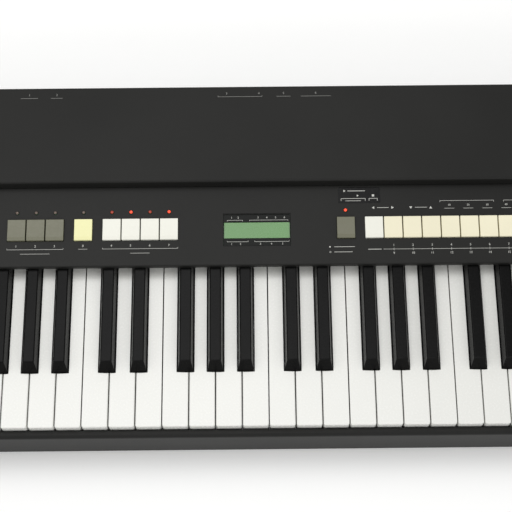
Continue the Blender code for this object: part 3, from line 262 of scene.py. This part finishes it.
def figure(bm, text, x, y, height):
    """Numerals set flat, centred on x and y."""
    curve = bpy.data.curves.new("figure", "FONT")
    curve.body = text
    curve.size = height * 1.4
    curve.align_x = "CENTER"
    curve.align_y = "CENTER"
    curve.extrude = INK / 2
    curve.resolution_u = 3
    holder = bpy.data.objects.new("figure", curve)
    bpy.context.scene.collection.objects.link(holder)
    graph = bpy.context.evaluated_depsgraph_get()
    mesh = bpy.data.meshes.new_from_object(holder.evaluated_get(graph))
    mesh.transform(Matrix.Translation((x, y, INK_LIFT + INK / 2)))
    bm.from_mesh(mesh)
    bpy.data.objects.remove(holder, do_unlink=True)
    bpy.data.curves.remove(curve)
    bpy.data.meshes.remove(mesh)


def rule(bm, x0, x1, y, ticks=0.0, width=0.00028):
    """A printed rule, with end ticks up (positive) or down (negative)."""
    slab(bm, x0, y - width / 2, x1, y + width / 2)
    if ticks:
        for x in (x0, x1):
            slab(bm, x - width / 2, min(y, y + ticks), x + width / 2, max(y, y + ticks))


def lathe(bm, profile, steps):
    """Spins (radius, height) points about Z, with both ends on the axis."""
    rings = []
    for radius, height in profile:
        if radius == 0:
            rings.append([bm.verts.new((0, 0, height))])
            continue
        ring = []
        for i in range(steps):
            a = 2 * math.pi * i / steps
            ring.append(bm.verts.new((radius * math.cos(a), radius * math.sin(a), height)))
        rings.append(ring)
    for upper, lower in zip(rings, rings[1:]):
        for i in range(steps):
            k = (i + 1) % steps
            if len(upper) == 1:
                bm.faces.new((upper[0], lower[i], lower[k]))
            elif len(lower) == 1:
                bm.faces.new((upper[i], lower[0], upper[k]))
            else:
                bm.faces.new((upper[i], lower[i], lower[k], upper[k]))
    for face in bm.faces:
        face.smooth = True


def button_xs(first, count):
    return [KEYS_LEFT + first + BUTTON_PITCH * i for i in range(count)]


TRIO = button_xs(0.1023, 3)
SPLIT = button_xs(0.1627, 1)
FOUR = button_xs(0.1884, 4)
BANK = button_xs(0.4006, 1)
PRESETS = button_xs(0.4261, 9)


def panel_marks():
    bm = bmesh.new()
    for number, x in enumerate(TRIO, 1):
        figure(bm, str(number), x, 19.6 * MM, 2.2 * MM)
    rule(bm, TRIO[0] - 0.008, TRIO[-1] + 0.008, 16.6 * MM, 1.2 * MM)
    rule(bm, TRIO[0] + 0.004, TRIO[-1] - 0.004, 12.4 * MM)
    figure(bm, "0", SPLIT[0], 19.6 * MM, 2.2 * MM)
    rule(bm, SPLIT[0] - 0.004, SPLIT[0] + 0.004, 16.6 * MM)
    for number, x in enumerate(FOUR, 4):
        figure(bm, str(number), x, 19.6 * MM, 2.2 * MM)
    rule(bm, FOUR[0] - 0.008, FOUR[-1] + 0.008, 16.6 * MM, 1.2 * MM)
    rule(bm, FOUR[1], FOUR[2], 12.4 * MM)
    disc(bm, 0.7 * MM, 16.6 * MM, 0.7 * MM)
    disc(bm, 1.0 * MM, 11.7 * MM, 0.75 * MM, 0.5 * MM)
    rule(bm, 4.5 * MM, 23 * MM, 16.6 * MM, width=0.0004)
    rule(bm, 4.5 * MM, 21 * MM, 11.7 * MM, width=0.0004)
    rule(bm, 49 * MM, PRESETS[-1] + 0.009, 14 * MM)
    rule(bm, PRESETS[0] - 0.006, PRESETS[0] + 0.006, 14 * MM, width=0.0005)
    for number, x in enumerate(PRESETS[1:], 1):
        slab(bm, x - 0.00014, 12.8 * MM, x + 0.00014, 15.2 * MM)
        figure(bm, str(number), x, 17.7 * MM, 2.1 * MM)
        figure(bm, str(number + 8), x, 10.2 * MM, 2.1 * MM)
    triangle(bm, 41.2 * MM, 53.8 * MM, 1.5 * MM, math.pi)
    triangle(bm, 58.3 * MM, 53.8 * MM, 1.5 * MM, 0)
    rule(bm, 44.5 * MM, 55 * MM, 53.8 * MM, width=0.0004)
    triangle(bm, 75.2 * MM, 53.9 * MM, 1.5 * MM, -math.pi / 2)
    triangle(bm, 93.3 * MM, 53.3 * MM, 1.5 * MM, math.pi / 2)
    rule(bm, 79 * MM, 90 * MM, 53.8 * MM, width=0.0004)
    rule(bm, 102 * MM, 151 * MM, 60 * MM, -1.4 * MM)
    rule(bm, 160 * MM, 196 * MM, 60 * MM, -1.4 * MM)
    for number, x in enumerate(PRESETS[4:], 1):
        figure(bm, str(number * 10), x, 55.8 * MM, 1.8 * MM)
        rule(bm, x - 0.0045, x + 0.0045, 52.6 * MM)
    piece("panel_print", bm, PRINT, PANEL, CASE)
    bm = bmesh.new()
    for i in range(21):
        angle = math.radians(-60 + 15 * i)
        turn = Matrix.Translation(KNOB_PLACE) @ Matrix.Rotation(angle, 4, "Z")
        arm = bmesh.new()
        slab(arm, 0.0105, -0.00014, 0.0124 if i % 5 else 0.0132, 0.00014)
        arm.transform(turn)
        scrap = bpy.data.meshes.new("tick")
        arm.to_mesh(scrap)
        arm.free()
        bm.from_mesh(scrap)
        bpy.data.meshes.remove(scrap)
    piece("knob_scale", bm, PRINT, PANEL, CASE)


def deck_marks():
    """Numbers over the rear sockets, with the rules that group them."""
    bm = bmesh.new()
    for number, x in enumerate(JACK_XS + ROUND_SOCKET_XS, 1):
        figure(bm, str(number), x, 0.1545, 2.2 * MM)
    rule(bm, -0.2835, -0.2675, 0.1512)
    rule(bm, -0.2555, -0.2445, 0.1512)
    rule(bm, -0.1000, -0.0590, 0.1512, 1.2 * MM)
    rule(bm, -0.0455, -0.0325, 0.1512)
    rule(bm, -0.0230, 0.0050, 0.1512)
    for x in ROUND_SOCKET_XS[1:]:
        rule(bm, x - 0.009, x + 0.009, 0.1512)
    piece("deck_print", bm, PRINT_DIM, DECK, CASE)
    bm = bmesh.new()
    footages = ("16", "5 1/3", "8", "4", "2 2/3", "2", "1 3/5", "1 1/3", "1")
    for i, text in enumerate(footages):
        figure(bm, text, DRAWBAR_FIRST_X + DRAWBAR_PITCH * i, 0.0725, 2.6 * MM)
    rule(bm, -0.486, -0.318, 0.0765)
    piece("drawbar_print", bm, PRINT, DECK, CASE)


def drawbar_numbers():
    """Steps 8 to 1 printed along each stem."""
    for i in range(DRAWBARS):
        bm = bmesh.new()
        x = DRAWBAR_FIRST_X + DRAWBAR_PITCH * i
        for step in range(8):
            figure(bm, str(step + 1), x, 0.0700 + 0.0062 * step, 2.2 * MM)
        lift = Matrix.Translation((0, 0, STEM_TOP_Z))
        piece(f"drawbar_steps_{i + 1}", bm, PRINT, lift, f"drawbar_{i + 1}")


def lamps():
    states = [UNLIT] * 4 + [HALF_LIT, LIT, HALF_LIT, LIT] + [LIT]
    xs = TRIO + SPLIT + FOUR + BANK
    for i, (x, look) in enumerate(zip(xs, states), 1):
        bm = bmesh.new()
        radius = 0.00145
        profile = [(0, 0.00175)]
        for k in range(1, 6):
            a = math.radians(18 * k)
            profile.append((radius * math.sin(a), 0.00085 + 0.0009 * math.cos(a)))
        profile += [(radius * 0.98, 0.0008), (0, 0.0008)]
        lathe(bm, profile, 20)
        place = PANEL @ Matrix.Translation((x, LAMP_S, 0))
        piece(f"lamp_lens_{i}", bm, look, place, CASE)


def display():
    """Print on the window, and the thin rim round it."""
    bm = bmesh.new()
    top = Matrix.Translation((0, 0, -0.0010))
    rule(bm, -71.7 * MM, -36.8 * MM, 43.2 * MM, -0.9 * MM)
    rule(bm, -92.0 * MM, -78.0 * MM, 43.2 * MM, -0.9 * MM)
    rule(bm, -67.2 * MM, -36.0 * MM, 22.6 * MM, 0.9 * MM)
    rule(bm, -92.0 * MM, -73.0 * MM, 22.6 * MM, 0.9 * MM)
    for number, x in enumerate((-88, -82, -64, -56, -48, -40), 1):
        figure(bm, str(number), x * MM, 45.6 * MM, 1.9 * MM)
    for number, x in enumerate((-88, -80, -62, -52, -42), 1):
        figure(bm, str(number), x * MM, 20.4 * MM, 1.9 * MM)
    piece("window_print", bm, PRINT, PANEL @ top, CASE)
    bm = bmesh.new()
    left, right, front, rear = -0.0952, -0.0350, 0.0185, 0.0491
    rim = 0.0004
    for x0, y0, x1, y1 in (
        (left, rear - rim, right, rear),
        (left, front, right, front + rim / 2),
        (left, front + rim / 2, left + rim / 2, rear - rim),
        (right - rim / 2, front + rim / 2, right, rear - rim),
    ):
        slab(bm, x0, y0, x1, y1, -0.00098, -0.00015)
    piece("window_rim", bm, LOOKS["chassis_black"], PANEL, CASE)


def sticker():
    """Glossy strip with play and stop signs."""
    bm = bmesh.new()
    slab(bm, 9.3 * MM, 58.4 * MM, 47.8 * MM, 73.6 * MM, 0.00001, 0.00016)
    edges = [e for e in bm.edges if abs(e.verts[0].co.z - e.verts[1].co.z) > 0.0001]
    bmesh.ops.bevel(bm, geom=edges, offset=0.0011, segments=4, profile=0.5, affect="EDGES")
    piece("gloss_strip", bm, STICKER, PANEL, CASE)
    bm = bmesh.new()
    triangle(bm, 15.0 * MM, 70.2 * MM, 1.3 * MM, 0)
    rule(bm, 18 * MM, 34 * MM, 70.2 * MM, width=0.0006)
    triangle(bm, 27.0 * MM, 65.6 * MM, 1.2 * MM, 0)
    slab(bm, 40.2 * MM, 64.6 * MM, 42.3 * MM, 66.7 * MM)
    rule(bm, 12 * MM, 34 * MM, 62.8 * MM, -2.2 * MM, width=0.0004)
    rule(bm, 37.5 * MM, 45 * MM, 62.8 * MM, -2.2 * MM, width=0.0004)
    rule(bm, 16 * MM, 30 * MM, 60.6 * MM, width=0.0004)
    lift = PANEL @ Matrix.Translation((0, 0, 0.00013))
    piece("gloss_strip_signs", bm, PRINT, lift, CASE)


def fittings():
    """Turned rings on the jacks, the knob's pointer and the feet's rubber."""
    toward_rear = Matrix.Rotation(math.radians(-90), 4, "X")
    for i, x in enumerate(JACK_XS, 1):
        bm = bmesh.new()
        steps = 28
        rings = [(0.0049, 0.0), (0.0049, 0.0012), (0.0046, 0.00165)]
        rings += [(0.0037, 0.00165), (0.0033, 0.0012), (0.0033, -0.004)]
        verts = []
        for radius, height in rings:
            turns = [2 * math.pi * k / steps for k in range(steps)]
            ring = [(radius * math.cos(a), radius * math.sin(a), height) for a in turns]
            verts.append([bm.verts.new(point) for point in ring])
        for upper, lower in zip(verts, verts[1:]):
            for k in range(steps):
                n = (k + 1) % steps
                bm.faces.new((upper[k], upper[n], lower[n], lower[k])).smooth = True
        place = Matrix.Translation((x, NUT_FACE_Y, SOCKET_Z)) @ toward_rear
        piece(f"jack_ring_{i}", bm, NICKEL, place, CASE)
    bm = bmesh.new()
    slab(bm, -0.0003, 0.0026, 0.0003, 0.0068, 0.01010, 0.01025)
    place = PANEL @ Matrix.Translation(KNOB_PLACE)
    piece("knob_pointer", bm, PRINT, place, "volume_knob")
    number = 0
    for x in (-FOOT_X, FOOT_X):
        for y in (-FOOT_Y, FOOT_Y):
            number += 1
            bm = bmesh.new()
            profile = [(0, 0.0082), (0.01205, 0.0080), (0.0115, 0.0045), (0.01015, 0.0006)]
            profile += [(0.0095, 0), (0.006, 0), (0.0056, 0.0007), (0, 0.0007)]
            lathe(bm, profile, 36)
            piece(f"foot_{number}", bm, RUBBER, Matrix.Translation((x, y, 0)), CASE)


panel_marks()
deck_marks()
drawbar_numbers()
lamps()
display()
sticker()
fittings()

# Floor, light and camera


def floor():
    bm = bmesh.new()
    bmesh.ops.create_grid(bm, x_segments=2, y_segments=2, size=6)
    mesh = bpy.data.meshes.new("floor")
    bm.to_mesh(mesh)
    bm.free()
    obj = bpy.data.objects.new("floor", mesh)
    bpy.context.scene.collection.objects.link(obj)
    look = procedural(
        "floor_paint", (0.94, 0.94, 0.935), 0.7, vary=0.004, cloud=2, emit=(1, 1, 1), power=0.16
    )
    mesh.materials.append(look)


def lamp(name, place, aim, size, power):
    light = bpy.data.lights.new(name, "AREA")
    light.shape = "RECTANGLE"
    light.size, light.size_y = size
    light.energy = power
    obj = bpy.data.objects.new(name, light)
    obj.location = place
    obj.rotation_euler = (Vector(aim) - Vector(place)).to_track_quat("-Z", "Y").to_euler()
    bpy.context.scene.collection.objects.link(obj)


def light_and_camera():
    world = bpy.data.worlds.new("studio")
    bpy.context.scene.world = world
    world.use_nodes = True
    background = world.node_tree.nodes["Background"]
    background.inputs["Color"].default_value = (1.0, 1.0, 0.99, 1)
    background.inputs["Strength"].default_value = 0.60
    lamp("overhead", (-0.5, 0.5, 2.4), (0, 0, 0), (1.6, 1.2), 21)
    lamp("front", (0.4, -2.2, 1.6), (0, 0, 0.05), (2.4, 0.8), 13)
    camera = bpy.data.cameras.new("camera")
    camera.sensor_width = 36
    camera.lens = 98.69
    camera.clip_start = 0.05
    obj = bpy.data.objects.new("camera", camera)
    turn = Matrix((
        (0.9999508653636094, 0.009636855815110775, -0.002323331351159827),
        (-0.009808507355724002, 0.9279210335440796, -0.3726477541726769),
        (-0.0014352846481533428, 0.37265223267342157, 0.9279699636526458),
    )).to_4x4()
    obj.matrix_world = Matrix.Translation((-0.06908, -0.47353, 1.25223)) @ turn
    bpy.context.scene.collection.objects.link(obj)
    bpy.context.scene.camera = obj
    bpy.context.scene.view_settings.view_transform = "Standard"


floor()
light_and_camera()
